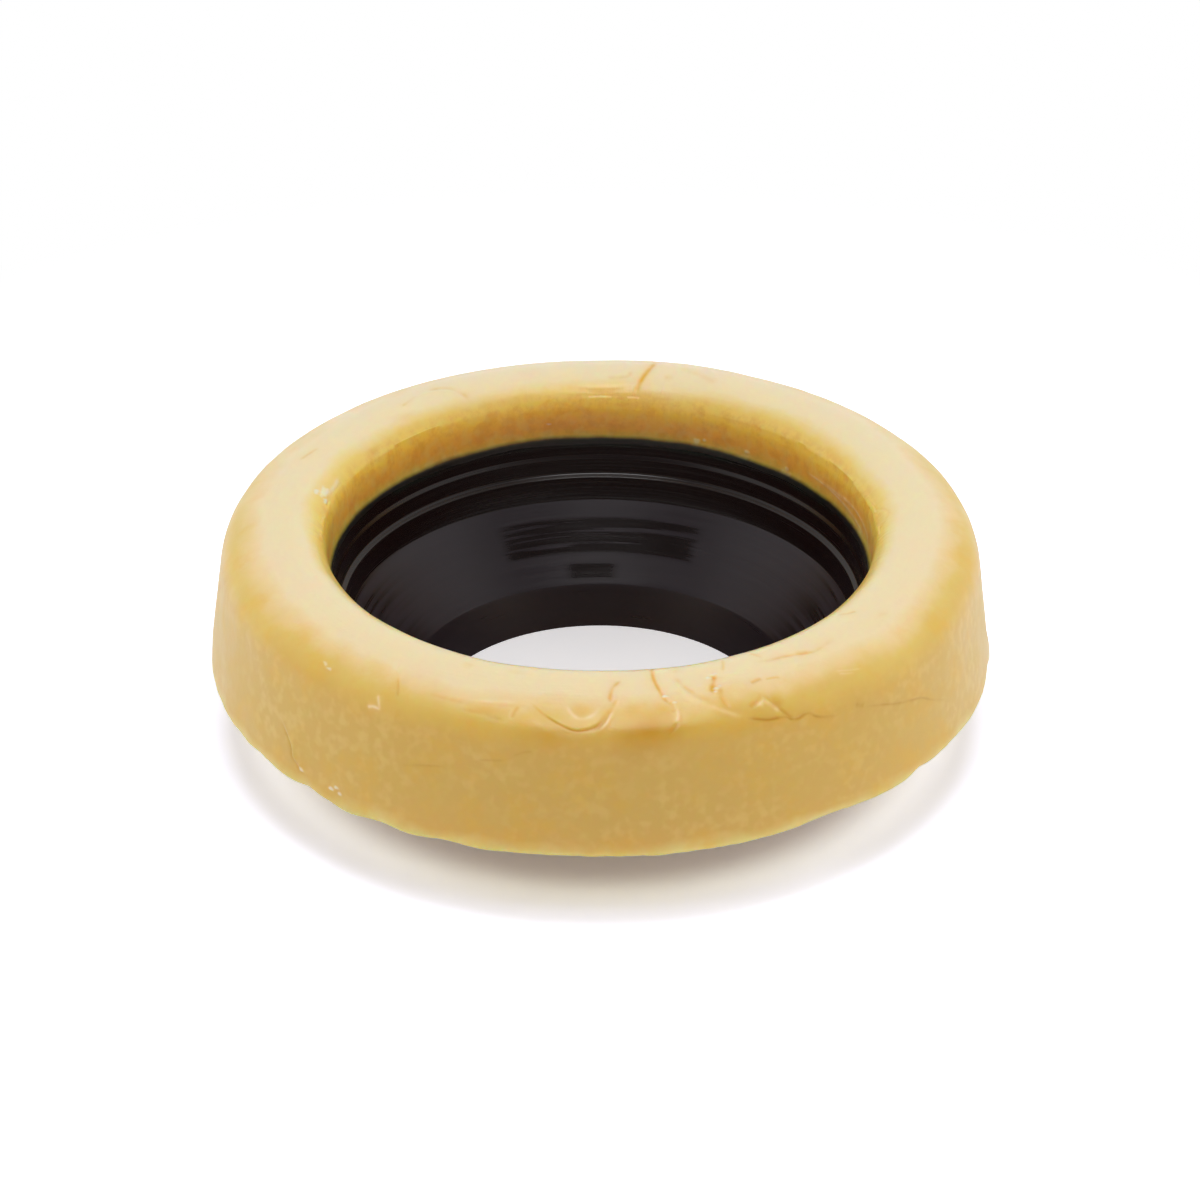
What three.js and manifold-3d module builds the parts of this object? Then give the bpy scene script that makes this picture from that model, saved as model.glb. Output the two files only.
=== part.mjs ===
// A toilet pan seal: a ring of soft wax cast round a black polyethylene sleeve.
// The wax is squeezed between the foot of the pan and the floor flange. The sleeve is a
// funnel that guides the waste down past the joint, and its perforated rim keys the two together.
// Millimetres, +Z up. The origin is on the axis, level with the lower end of the sleeve,
// which is what the seal stands on before it is fitted.

import * as THREE from "three";
import { mergeVertices, toCreasedNormals } from "three/addons/utils/BufferGeometryUtils.js";
import Module from "manifold-3d";

// Wax ring
const waxWidth = 19.55; // foot of the lip to the outer wall at the underside
const waxHeight = 24.2; // underside to crest
const waxStandoff = 13.4; // underside above the lower end of the sleeve
const waxDraft = THREE.MathUtils.degToRad(7.3); // lean of the outer wall, for release from the mould
const waxBaseRound = 0.8; // at the foot of the outer wall
const shoulderRound = 5; // between the outer wall and the crown
const crownDrop = 4.2; // crest to where the crown and the outer wall would meet unrounded
const lipRound = 5.5; // from the crest into the hole
const waxSetback = 0.2; // of the wax from the inner edge of the collar
const waxBoreTaper = 0.3; // how much the hole opens out from the collar to the lip

// Sleeve, on its inner face, from the lower end up
const mouthRadius = 28.2; // lower end
const neckTopRadius = 31.6;
const neckHeight = 6.2;
const funnelTopRadius = 41.2;
const funnelHeight = 11.2; // neck to collar
const collarHeight = 10.4; // funnel to the top edge
const collarDraft = THREE.MathUtils.degToRad(6);
const ledgeHeight = 4; // up the collar to the ledge
const ledgeWidth = 0.9;
const stepHeight = 6.9; // up the collar to the fine step
const stepWidth = 0.35;
const treadRise = 0.3; // slope of a ledge or step
const sleeveWall = 1.5;

// Rim of the sleeve, buried in the wax
const rimWidth = 13; // outside of the collar to the edge of the rim
const rimThickness = 1.6;
const rimCover = 5; // wax below the rim
const keyHoleCount = 12;
const keyHoleRadius = 3; // each hole is halfway across the rim

// Fits and facets
const waxGap = 0.3; // between the wax and the sleeve all round
const facetsRound = 72;
const facetsPerArc = 6;
const facetsPerHole = 16;
const keyLap = 1; // how far a key of wax runs into the wax above and below the rim

// Heights that both pieces use
const funnelTop = neckHeight + funnelHeight;
const collarTop = funnelTop + collarHeight;
const waxCrest = waxStandoff + waxHeight;
const rimUnderside = waxStandoff + rimCover;
const rimTop = rimUnderside + rimThickness;

const wasm = await Module();
wasm.setup();

// A closed geometry as a solid.
function solidFrom(geometry) {
  const bare = geometry.clone();
  bare.deleteAttribute("normal");
  bare.deleteAttribute("uv");
  const merged = mergeVertices(bare, 1e-4);
  return new wasm.Manifold(
    new wasm.Mesh({
      numProp: 3,
      vertProperties: new Float32Array(merged.attributes.position.array),
      triVerts: new Uint32Array(merged.index.array),
    }),
  );
}

// A solid as a geometry, with its sharp edges kept sharp in the shading.
function geometryFrom(solid) {
  const mesh = solid.getMesh();
  const geometry = new THREE.BufferGeometry();
  geometry.setAttribute("position", new THREE.BufferAttribute(mesh.vertProperties, 3));
  geometry.setIndex(new THREE.BufferAttribute(mesh.triVerts, 1));
  return toCreasedNormals(geometry, THREE.MathUtils.degToRad(30));
}

// A section turned round the Z axis. Its points are radius and height, and it runs up
// the outer side and down the inner side.
function turned(section) {
  const closed = [...section, section[0].clone()];
  const geometry = new THREE.LatheGeometry(closed, facetsRound);
  return solidFrom(geometry.rotateX(Math.PI / 2));
}

// Points along an arc about a centre, both ends included.
function arc(centre, radius, from, to) {
  const curve = new THREE.EllipseCurve(centre.x, centre.y, radius, radius, from, to);
  return curve.getPoints(facetsPerArc);
}

// A section line moved to its right by a distance, with its corners kept sharp.
function offsetLine(points, distance) {
  const normals = points.slice(1).map((point, i) => {
    const along = point.clone().sub(points[i]).normalize();
    return new THREE.Vector2(along.y, -along.x);
  });
  return points.map((point, i) => {
    const before = normals[Math.max(i - 1, 0)];
    const after = normals[Math.min(i, normals.length - 1)];
    const mitre = before.clone().add(after).normalize();
    return point.clone().addScaledVector(mitre, distance / mitre.dot(after));
  });
}

// The point of a section line at a height. Past its ends the line runs straight on.
function pointAt(points, height) {
  const above = points.findIndex((point) => point.y > height);
  const i = above < 0 ? points.length - 1 : Math.max(above, 1);
  const low = points[i - 1];
  const high = points[i];
  const radius = THREE.MathUtils.mapLinear(height, low.y, high.y, low.x, high.x);
  return new THREE.Vector2(radius, height);
}

// The stretch of a section line between two heights.
function stretch(points, bottom, top) {
  const inside = points.filter((point) => point.y > bottom && point.y < top);
  return [pointAt(points, bottom), ...inside, pointAt(points, top)];
}

// Upright pins of one radius, halfway across the rim.
function keyPins(radius, bottom, top) {
  const pitchRadius = rimRadius - rimWidth / 2;
  const height = top - bottom;
  const pin = new THREE.CylinderGeometry(radius, radius, height, facetsPerHole);
  pin.rotateX(Math.PI / 2).translate(pitchRadius, 0, bottom + height / 2);
  return Array.from({ length: keyHoleCount }, (_, i) =>
    solidFrom(pin.clone().rotateZ((2 * Math.PI * i) / keyHoleCount)),
  );
}

// The inner face of the sleeve, from its lower end to the top of the collar: the neck, the
// funnel, and the collar with the ledge and the fine step that open it out.
function sleeveInnerFace() {
  const lean = Math.tan(collarDraft);
  const ledgeFoot = funnelTopRadius + lean * ledgeHeight;
  const stepFoot = ledgeFoot + ledgeWidth + lean * (stepHeight - ledgeHeight);
  const topRadius = stepFoot + stepWidth + lean * (collarHeight - stepHeight);
  return [
    new THREE.Vector2(mouthRadius, 0),
    new THREE.Vector2(neckTopRadius, neckHeight),
    new THREE.Vector2(funnelTopRadius, funnelTop),
    new THREE.Vector2(ledgeFoot, funnelTop + ledgeHeight),
    new THREE.Vector2(ledgeFoot + ledgeWidth, funnelTop + ledgeHeight + treadRise),
    new THREE.Vector2(stepFoot, funnelTop + stepHeight),
    new THREE.Vector2(stepFoot + stepWidth, funnelTop + stepHeight + treadRise),
    new THREE.Vector2(topRadius, collarTop),
  ];
}

const innerFace = sleeveInnerFace();
const outerFace = offsetLine(innerFace, sleeveWall);
const rimRadius = pointAt(outerFace, rimTop).x + rimWidth;
const waxBoreRadius = pointAt(innerFace, collarTop).x + waxSetback + waxBoreTaper;
const waxBaseRadius = waxBoreRadius + waxWidth;

// Neck, funnel, collar and rim, moulded in one, with the key holes cut through the rim.
function sleeve() {
  const section = [
    ...stretch(outerFace, 0, rimUnderside),
    new THREE.Vector2(rimRadius, rimUnderside),
    new THREE.Vector2(rimRadius, rimTop),
    ...stretch(outerFace, rimTop, collarTop),
    ...[...innerFace].reverse(),
  ];
  const holes = keyPins(keyHoleRadius, rimUnderside - keyLap, rimTop + keyLap);
  return holes.reduce((body, hole) => body.subtract(hole), turned(section));
}

// The outside of the wax, from the foot of the outer wall over the crown and into the hole.
function waxOuterFace() {
  const up = new THREE.Vector2(-Math.sin(waxDraft), Math.cos(waxDraft));
  const inward = new THREE.Vector2(-up.y, up.x);
  const foot = new THREE.Vector2(waxBaseRadius, waxStandoff);
  const crest = new THREE.Vector2(waxBoreRadius + lipRound, waxCrest);

  // The round at the foot touches the underside and the leaning wall.
  const setback = waxBaseRound * Math.tan(Math.PI / 4 + waxDraft / 2);
  const footCentre = foot
    .clone()
    .addScaledVector(up, setback)
    .addScaledVector(inward, waxBaseRound);

  // The crown is level at the crest and falls by its drop on the way to the wall.
  const wallTop = foot.clone().addScaledVector(up, (waxHeight - crownDrop) / up.y);
  const crownReach = wallTop.x - crest.x;
  const crownRadius = (crownReach ** 2 + crownDrop ** 2) / (2 * crownDrop);
  const crownCentre = new THREE.Vector2(crest.x, crest.y - crownRadius);

  // The shoulder touches the wall, and runs into the circle of the crown from inside it.
  const fromCrown = foot.clone().addScaledVector(inward, shoulderRound).sub(crownCentre);
  const along = fromCrown.dot(up);
  const reach = crownRadius - shoulderRound;
  const rise = Math.sqrt(along * along - fromCrown.lengthSq() + reach * reach) - along;
  fromCrown.addScaledVector(up, rise);
  const shoulderCentre = crownCentre.clone().add(fromCrown);
  const meeting = fromCrown.angle();

  const lipCentre = new THREE.Vector2(crest.x, crest.y - lipRound);
  return [
    ...arc(footCentre, waxBaseRound, -Math.PI / 2, waxDraft),
    ...arc(shoulderCentre, shoulderRound, waxDraft, meeting),
    ...arc(crownCentre, crownRadius, meeting, Math.PI / 2).slice(1),
    ...arc(lipCentre, lipRound, Math.PI / 2, Math.PI).slice(1),
    new THREE.Vector2(waxBoreRadius - waxBoreTaper, collarTop + waxGap),
  ];
}

// The wax, cast over the collar and the rim, with a key of wax through each hole of the rim.
function waxRing() {
  const seat = offsetLine(outerFace, waxGap);
  const rimFloor = rimUnderside - waxGap;
  const rimCeiling = rimTop + waxGap;
  const section = [
    ...waxOuterFace(),
    ...stretch(seat, rimCeiling, collarTop + waxGap).reverse(),
    new THREE.Vector2(rimRadius + waxGap, rimCeiling),
    new THREE.Vector2(rimRadius + waxGap, rimFloor),
    ...stretch(seat, waxStandoff, rimFloor).reverse(),
  ];
  const keys = keyPins(keyHoleRadius - waxGap, rimFloor - keyLap, rimCeiling + keyLap);
  return keys.reduce((body, key) => body.add(key), turned(section));
}

function waxMaterial() {
  return new THREE.MeshStandardMaterial({ color: "#e2c387", roughness: 0.45, metalness: 0 });
}

function polyethyleneMaterial() {
  return new THREE.MeshStandardMaterial({ color: "#1d1a1b", roughness: 0.35, metalness: 0 });
}

function part(name, solid, material) {
  const mesh = new THREE.Mesh(geometryFrom(solid), material);
  mesh.name = name;
  return mesh;
}

const seal = new THREE.Group();
seal.add(part("wax_ring", waxRing(), waxMaterial()));
seal.add(part("sleeve", sleeve(), polyethyleneMaterial()));

export default seal;
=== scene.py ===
"""A toilet pan seal: a ring of soft wax cast round a black polyethylene sleeve.

Laid out as an add-on and run as a script, in metres, +Z up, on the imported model's frame.
"""

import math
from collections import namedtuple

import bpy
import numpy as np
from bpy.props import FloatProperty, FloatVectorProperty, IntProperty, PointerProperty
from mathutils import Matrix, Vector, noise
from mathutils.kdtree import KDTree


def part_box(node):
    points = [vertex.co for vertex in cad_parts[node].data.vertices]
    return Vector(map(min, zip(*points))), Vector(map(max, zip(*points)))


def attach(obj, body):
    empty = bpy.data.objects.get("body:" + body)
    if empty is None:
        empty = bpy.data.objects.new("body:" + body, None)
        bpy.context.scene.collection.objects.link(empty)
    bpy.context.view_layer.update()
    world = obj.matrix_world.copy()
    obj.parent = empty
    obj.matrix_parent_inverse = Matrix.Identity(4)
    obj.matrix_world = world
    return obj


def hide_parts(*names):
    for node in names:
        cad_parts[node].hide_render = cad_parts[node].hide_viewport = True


bl_info = {
    "name": "Toilet Pan Seal",
    "version": (1, 0, 0),
    "blender": (4, 5, 0),
    "location": "3D View > Sidebar > Pan Seal",
    "description": "Models a wax toilet pan seal and its polyethylene sleeve round a packed frame",
    "category": "Object",
}

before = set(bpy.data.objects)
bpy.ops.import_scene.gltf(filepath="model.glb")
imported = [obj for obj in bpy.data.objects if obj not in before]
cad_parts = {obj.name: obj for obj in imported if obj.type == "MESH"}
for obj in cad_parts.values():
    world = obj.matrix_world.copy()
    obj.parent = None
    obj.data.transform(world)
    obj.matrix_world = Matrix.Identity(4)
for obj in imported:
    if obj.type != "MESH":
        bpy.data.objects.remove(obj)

MM = 0.001
TURN = 2 * math.pi
AXIS = (0, 0, 1)
CENTRE = (0, 0, 0)
WELD = 0.002 * MM

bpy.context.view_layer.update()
wax_low, wax_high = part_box("wax_ring")
sleeve_low, sleeve_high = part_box("sleeve")


# Colours and small helpers


def linear(hex_colour):
    """An sRGB hex colour as linear red, green and blue."""
    parts = [int(hex_colour[i : i + 2], 16) / 255 for i in (1, 3, 5)]
    return tuple(p / 12.92 if p <= 0.04045 else ((p + 0.055) / 1.055) ** 2.4 for p in parts)


def colour_setting(name, description, hex_colour):
    return FloatVectorProperty(
        name=name, description=description, subtype="COLOR", size=3, min=0, max=1,
        default=linear(hex_colour),
    )


def length_setting(name, description, millimetres):
    return FloatProperty(
        name=name, description=description, unit="LENGTH", precision=5, default=millimetres * MM
    )


def opaque(colour):
    """A colour with full alpha."""
    return (*colour, 1)


def add_node(tree, kind, links=None, **settings):
    """Adds a node, sets its properties, and sets or links its inputs."""
    node = tree.nodes.new(kind)
    for name, value in settings.items():
        setattr(node, name, value)
    for socket, source in (links or {}).items():
        if isinstance(source, bpy.types.NodeSocket):
            tree.links.new(source, node.inputs[socket])
        else:
            node.inputs[socket].default_value = source
    return node


def new_tree(owner):
    """The emptied node tree of a material or a world."""
    owner.use_nodes = True
    owner.node_tree.nodes.clear()
    return owner.node_tree


def maths(tree, operation, *values):
    """A sum of values and sockets, done by a node."""
    return add_node(
        tree, "ShaderNodeMath", dict(enumerate(values)), operation=operation
    ).outputs[0]


def product(tree, first, *others):
    """All the values times one another."""
    for other in others:
        first = maths(tree, "MULTIPLY", first, other)
    return first


def principled(tree, inputs):
    """Puts the material's surface shader on its tree."""
    shader = add_node(tree, "ShaderNodeBsdfPrincipled", inputs)
    add_node(tree, "ShaderNodeOutputMaterial", {"Surface": shader.outputs[0]})


def ramp(tree, value, low, high, start=0.0, end=1.0):
    """Eases from one value to another as the input goes from low to high."""
    return add_node(
        tree, "ShaderNodeMapRange",
        {"Value": value, "From Min": low, "From Max": high, "To Min": start, "To Max": end},
        interpolation_type="SMOOTHSTEP",
    ).outputs["Result"]


def clouds(tree, where, size, detail=3.0, roughness=0.5):
    """Noise from 0 to 1 with features of a size."""
    return add_node(
        tree, "ShaderNodeTexNoise",
        {"Vector": where, "Scale": 1 / size, "Detail": detail, "Roughness": roughness},
    ).outputs["Fac"]


def mix_colour(tree, factor, first, second):
    """One colour over another. Each is a colour or a socket."""
    mix = add_node(tree, "ShaderNodeMix", data_type="RGBA")
    sockets = (mix.inputs[0], mix.inputs[6], mix.inputs[7])
    for socket, source in zip(sockets, (factor, first, second)):
        if isinstance(source, bpy.types.NodeSocket):
            tree.links.new(source, socket)
        else:
            socket.default_value = source
    return mix.outputs[2]


def axis_heading(tree, axes):
    """The direction of a place from the axis."""
    flat = add_node(tree, "ShaderNodeCombineXYZ", {"X": axes["X"], "Y": axes["Y"]}).outputs[0]
    return add_node(
        tree, "ShaderNodeVectorMath", {0: flat}, operation="NORMALIZE"
    ).outputs["Vector"]


def wound(tree, heading, turns, level):
    """A place for noise that is drawn out round the axis. The turns set the size round it,
    and the level the size along it."""
    around = add_node(
        tree, "ShaderNodeVectorMath", {0: heading, 3: turns}, operation="SCALE"
    ).outputs["Vector"]
    lift = add_node(tree, "ShaderNodeCombineXYZ", {"Z": level}).outputs[0]
    return add_node(
        tree, "ShaderNodeVectorMath", {0: around, 1: lift}, operation="ADD"
    ).outputs["Vector"]


def smooth_step(value, low, high):
    """Eases from 0 to 1 as the values go from low to high."""
    t = np.clip((value - low) / (high - low), 0, 1)
    return t * t * (3 - 2 * t)


# Settings


class WaxSettings(bpy.types.PropertyGroup):
    """Sizes and colours of the wax."""

    wall_lean: FloatProperty(
        name="Wall lean", description="Lean of the outer wall, for release from the mould",
        unit="ROTATION", default=math.radians(7.3),
    )
    foot_round: length_setting("Foot round", "Radius at the foot of the outer wall", 0.8)
    shoulder_round: length_setting("Shoulder round", "Radius from the wall to the crown", 5)
    crown_drop: length_setting("Crown drop", "Fall of the crown from its crest to the wall", 4.2)
    lip_round: length_setting("Lip round", "Radius from the crest into the hole", 5.5)
    hole_radius: length_setting("Hole radius", "Radius of the hole at the foot of the lip", 44)
    film_reach: length_setting("Film reach", "How far a film of wax runs down the collar", 0.8)
    lump_height: length_setting("Lump height", "Unevenness of the cast skin", 0.2)
    foot_colour: colour_setting("Foot", "Thin wax at the lower edge", "#f0dc8f")
    wall_colour: colour_setting("Wall", "Clear amber wax of the outer wall", "#dfb752")
    shoulder_colour: colour_setting("Shoulder", "Wax where the wall turns into the crown", "#e7c96a")
    # The crown's colour is its pale bloom with a painted sheen in it.
    crown_colour: colour_setting("Crown", "Bloomed wax on top", "#ffe3b6")
    lip_colour: colour_setting("Lip", "Wax where the crown turns into the hole", "#fdd876")
    hole_colour: colour_setting("Hole", "Deep amber wax inside the hole", "#ffcf4e")
    deep_colour: colour_setting("Deep", "The wax nearest to the collar", "#f7ae40")
    film_colour: colour_setting("Film", "A thin film of wax over the black collar", "#35210f")
    spot_colour: colour_setting("Spots", "Cloudy spots in the wall", "#f0d27c")
    crease_colour: colour_setting("Creases", "Clear wax in a crease of the crown", "#eab824")
    score_colour: colour_setting("Scores", "Clear wax in a crease of the wall", "#cf9a1e")
    run_colour: colour_setting("Runs", "Deeper streaks inside the hole", "#cf7a28")
    chip_colour: colour_setting("Chips", "Bruised wax, dry and white", "#f6ecd2")


class SleeveSettings(bpy.types.PropertyGroup):
    """Sizes and colours of the sleeve."""

    mouth_radius: length_setting("Mouth", "Inner radius at the lower end", 28.2)
    neck_top_radius: length_setting("Neck top", "Inner radius where neck and funnel meet", 31.6)
    neck_height: length_setting("Neck height", "Lower end to the funnel", 6.2)
    funnel_top_radius: length_setting("Funnel top", "Inner radius at the collar", 41.2)
    funnel_height: length_setting("Funnel height", "Neck to collar", 11.2)
    collar_lean: FloatProperty(
        name="Collar lean", description="How the collar opens out", unit="ROTATION",
        default=math.radians(6),
    )
    ledge_height: length_setting("Ledge height", "Up the collar to the ledge", 4)
    ledge_width: length_setting("Ledge width", "How far the ledge opens the collar", 0.9)
    step_height: length_setting("Step height", "Up the collar to the fine step", 6.9)
    step_width: length_setting("Step width", "How far the step opens the collar", 0.35)
    ledge_rise: length_setting("Ledge rise", "Slope of the ledge", 0.3)
    step_rise: length_setting("Step rise", "Slope of the step", 0.6)
    wall: length_setting("Wall", "Thickness of the sleeve", 1.5)
    rim_cover: length_setting("Rim cover", "Wax below the rim", 5)
    rim_thickness: length_setting("Rim thickness", "Thickness of the buried rim", 1.6)
    rim_width: length_setting("Rim width", "Collar to the edge of the rim", 13)
    key_holes: IntProperty(name="Key holes", description="Holes round the rim", default=12)
    key_hole_radius: length_setting("Key hole radius", "Radius of a hole of the rim", 3)
    colour: colour_setting("Polyethylene", "Black polyethylene", "#170b0a")
    haze_colour: colour_setting("Haze", "Dull haze on the funnel", "#2b232a")
    fade_colour: colour_setting("Fade", "Traces of wax at the top of the collar", "#18201a")


class StageSettings(bpy.types.PropertyGroup):
    """Camera, lamps and floor."""

    camera_distance: FloatProperty(
        name="Camera distance", description="From the axis, level with the underside of the wax",
        unit="LENGTH", default=0.8,
    )
    camera_elevation: FloatProperty(
        name="Camera elevation", description="Of the camera above the underside of the wax",
        unit="ROTATION", default=math.radians(31.08),
    )
    aim_height: length_setting("Aim height", "Where the camera looks on the axis", 21.7)
    lens: FloatProperty(name="Lens", description="Focal length in millimetres", default=146.75)
    floor_colour: colour_setting("Floor", "Pale paper", "#f2f1f0")


# Sections, in the plane of radius and height


def arc(centre, radius, start, end, spacing):
    """Points along an arc, both ends included."""
    count = max(3, math.ceil(abs(end - start) * radius / spacing))
    angles = np.linspace(start, end, count + 1)
    return [centre + Vector((math.cos(a), math.sin(a))) * radius for a in angles]


def rounded(before, corner, after, radius, spacing):
    """The arc that rounds a corner."""
    back = (before - corner).normalized()
    on = (after - corner).normalized()
    half = back.angle(on) / 2
    centre = corner + (back + on).normalized() * (radius / math.sin(half))
    start = corner + back * (radius / math.tan(half)) - centre
    end = corner + on * (radius / math.tan(half)) - centre
    first = math.atan2(start.y, start.x)
    sweep = math.remainder(math.atan2(end.y, end.x) - first, TURN)
    return arc(centre, radius, first, first + sweep, spacing)


def spaced(points, spacing):
    """The same line with points added along its straight stretches."""
    line = [points[0]]
    for before, after in zip(points, points[1:]):
        count = max(1, round((after - before).length / spacing))
        line += [before.lerp(after, i / count) for i in range(1, count + 1)]
    return line


def offset(points, distance):
    """A line moved to its right by a distance, its corners kept sharp."""
    along = [(after - before).normalized() for before, after in zip(points, points[1:])]
    normals = [Vector((d.y, -d.x)) for d in along]
    moved = []
    for i, point in enumerate(points):
        before = normals[max(i - 1, 0)]
        mitre = (before + normals[min(i, len(normals) - 1)]).normalized()
        moved.append(point + mitre * (distance / mitre.dot(before)))
    return moved


def at_height(points, height):
    """The point of a rising line at a height. Past its ends the line runs straight on."""
    i = next((i for i, point in enumerate(points) if point.y > height), len(points) - 1)
    low, high = points[max(i, 1) - 1], points[max(i, 1)]
    return low.lerp(high, (height - low.y) / (high.y - low.y)) if high != low else low.copy()


def stretch(points, bottom, top):
    """The stretch of a rising line between two heights."""
    inside = [point for point in points if bottom < point.y < top]
    return [at_height(points, bottom), *inside, at_height(points, top)]


# Modelling steps

WEDGES = 12
PIN_SIDES = 24
PIN_LAP = 1 * MM


def draw_section(name, points):
    """Draws a closed section in the XZ plane, point by point, and leaves it in edit mode."""
    bpy.ops.object.select_all(action="DESELECT")
    bpy.ops.mesh.primitive_plane_add(size=MM)
    piece = bpy.context.object
    piece.name = name
    piece.data.name = name
    bpy.ops.object.mode_set(mode="EDIT")
    bpy.ops.mesh.merge(type="CENTER")
    bpy.ops.transform.translate(value=(points[0].x, 0, points[0].y))
    for before, after in zip(points, points[1:] + points[:1]):
        step = after - before
        bpy.ops.mesh.extrude_region_move(TRANSFORM_OT_translate={"value": (step.x, 0, step.y)})
    bpy.ops.mesh.select_all(action="SELECT")
    bpy.ops.mesh.remove_doubles(threshold=WELD)
    return piece


def turn_section(steps):
    """Spins the section through one wedge, copies the wedge round, and closes the seams."""
    wedge = TURN / WEDGES
    bpy.ops.mesh.spin(steps=steps // WEDGES, angle=wedge, center=CENTRE, axis=AXIS)
    bpy.ops.mesh.select_all(action="SELECT")
    bpy.ops.mesh.spin(steps=WEDGES - 1, dupli=True, angle=TURN - wedge, center=CENTRE, axis=AXIS)
    bpy.ops.mesh.select_all(action="SELECT")
    bpy.ops.mesh.remove_doubles(threshold=WELD)
    bpy.ops.mesh.normals_make_consistent(inside=False)
    bpy.ops.object.mode_set(mode="OBJECT")


def rim_faces(sleeve):
    """The heights of the rim's underside and of its top."""
    underside = wax_low.z + sleeve.rim_cover
    return underside, underside + sleeve.rim_thickness


def key_pins(sleeve, radius):
    """Upright pins round the middle of the rim, a little longer than it is thick."""
    underside, top = rim_faces(sleeve)
    pitch_radius = sleeve_high.x - sleeve.rim_width / 2
    bpy.ops.object.select_all(action="DESELECT")
    bpy.ops.mesh.primitive_cylinder_add(
        vertices=PIN_SIDES, radius=radius, depth=top - underside + 2 * PIN_LAP,
        location=(pitch_radius, 0, (underside + top) / 2),
    )
    pins = bpy.context.object
    bpy.ops.object.mode_set(mode="EDIT")
    bpy.ops.mesh.spin(steps=sleeve.key_holes, dupli=True, angle=TURN, center=CENTRE, axis=AXIS)
    bpy.ops.mesh.select_all(action="SELECT")
    bpy.ops.mesh.remove_doubles(threshold=WELD)
    bpy.ops.object.mode_set(mode="OBJECT")
    return pins


def combine(piece, tool, operation):
    """Joins another solid to a piece or cuts it away, and removes that solid."""
    bpy.ops.object.select_all(action="DESELECT")
    bpy.context.view_layer.objects.active = piece
    piece.select_set(True)
    boolean = piece.modifiers.new(operation.title(), "BOOLEAN")
    boolean.operation = operation
    boolean.solver = "MANIFOLD"
    boolean.object = tool
    bpy.ops.object.modifier_apply(modifier=boolean.name)
    bpy.data.objects.remove(tool, do_unlink=True)


def finish_piece(piece, material, node, sharp_angle):
    """Gives a piece its material and shading, and puts it in the place of its node."""
    piece.data.materials.clear()
    piece.data.materials.append(material)
    bpy.ops.object.select_all(action="DESELECT")
    bpy.context.view_layer.objects.active = piece
    piece.select_set(True)
    bpy.ops.object.shade_smooth_by_angle(angle=sharp_angle)
    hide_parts(node)
    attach(piece, "root")


# Sleeve

SLEEVE_STEPS = 360
SLEEVE_SHARP = math.radians(35)

# Radii in mm of the inner face's corners, from the neck's top to the top of the fine step.
CORNER_ROUNDS = (0.5, 0.12, 0.2, 0.5, 0.2, 0.2)
CORNER_SPACING = 0.12 * MM


def sleeve_lines(sleeve):
    """The inner face of the sleeve from its lower end up, and its outer face."""
    lean = math.tan(sleeve.collar_lean)
    neck_top = sleeve.neck_height
    funnel_top = neck_top + sleeve.funnel_height
    ledge_foot = sleeve.funnel_top_radius + lean * sleeve.ledge_height
    ledge_top = ledge_foot + sleeve.ledge_width
    step_foot = ledge_top + lean * (sleeve.step_height - sleeve.ledge_height)
    step_top = step_foot + sleeve.step_width
    collar_top = sleeve_high.z
    collar_radius = step_top + lean * (collar_top - funnel_top - sleeve.step_height)
    inner = [
        Vector((sleeve.mouth_radius, sleeve_low.z)),
        Vector((sleeve.neck_top_radius, neck_top)),
        Vector((sleeve.funnel_top_radius, funnel_top)),
        Vector((ledge_foot, funnel_top + sleeve.ledge_height)),
        Vector((ledge_top, funnel_top + sleeve.ledge_height + sleeve.ledge_rise)),
        Vector((step_foot, funnel_top + sleeve.step_height)),
        Vector((step_top, funnel_top + sleeve.step_height + sleeve.step_rise)),
        Vector((collar_radius, collar_top)),
    ]
    return inner, offset(inner, sleeve.wall)


def rounded_line(points, radii, spacing):
    """A line with its inner corners rounded, each by its own radius."""
    line = [points[0]]
    for i, radius in enumerate(radii, start=1):
        line += rounded(points[i - 1], points[i], points[i + 1], radius, spacing)
    return line + [points[-1]]


def sleeve_section(sleeve):
    """The moulding in section: up the outside, over the rim, and down the rounded inside."""
    inner, outer = sleeve_lines(sleeve)
    rim_underside, rim_top = rim_faces(sleeve)
    face = rounded_line(inner, [radius * MM for radius in CORNER_ROUNDS], CORNER_SPACING)
    return [
        *stretch(outer, sleeve_low.z, rim_underside),
        Vector((sleeve_high.x, rim_underside)),
        Vector((sleeve_high.x, rim_top)),
        *stretch(outer, rim_top, sleeve_high.z),
        *reversed(face),
    ]


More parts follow.
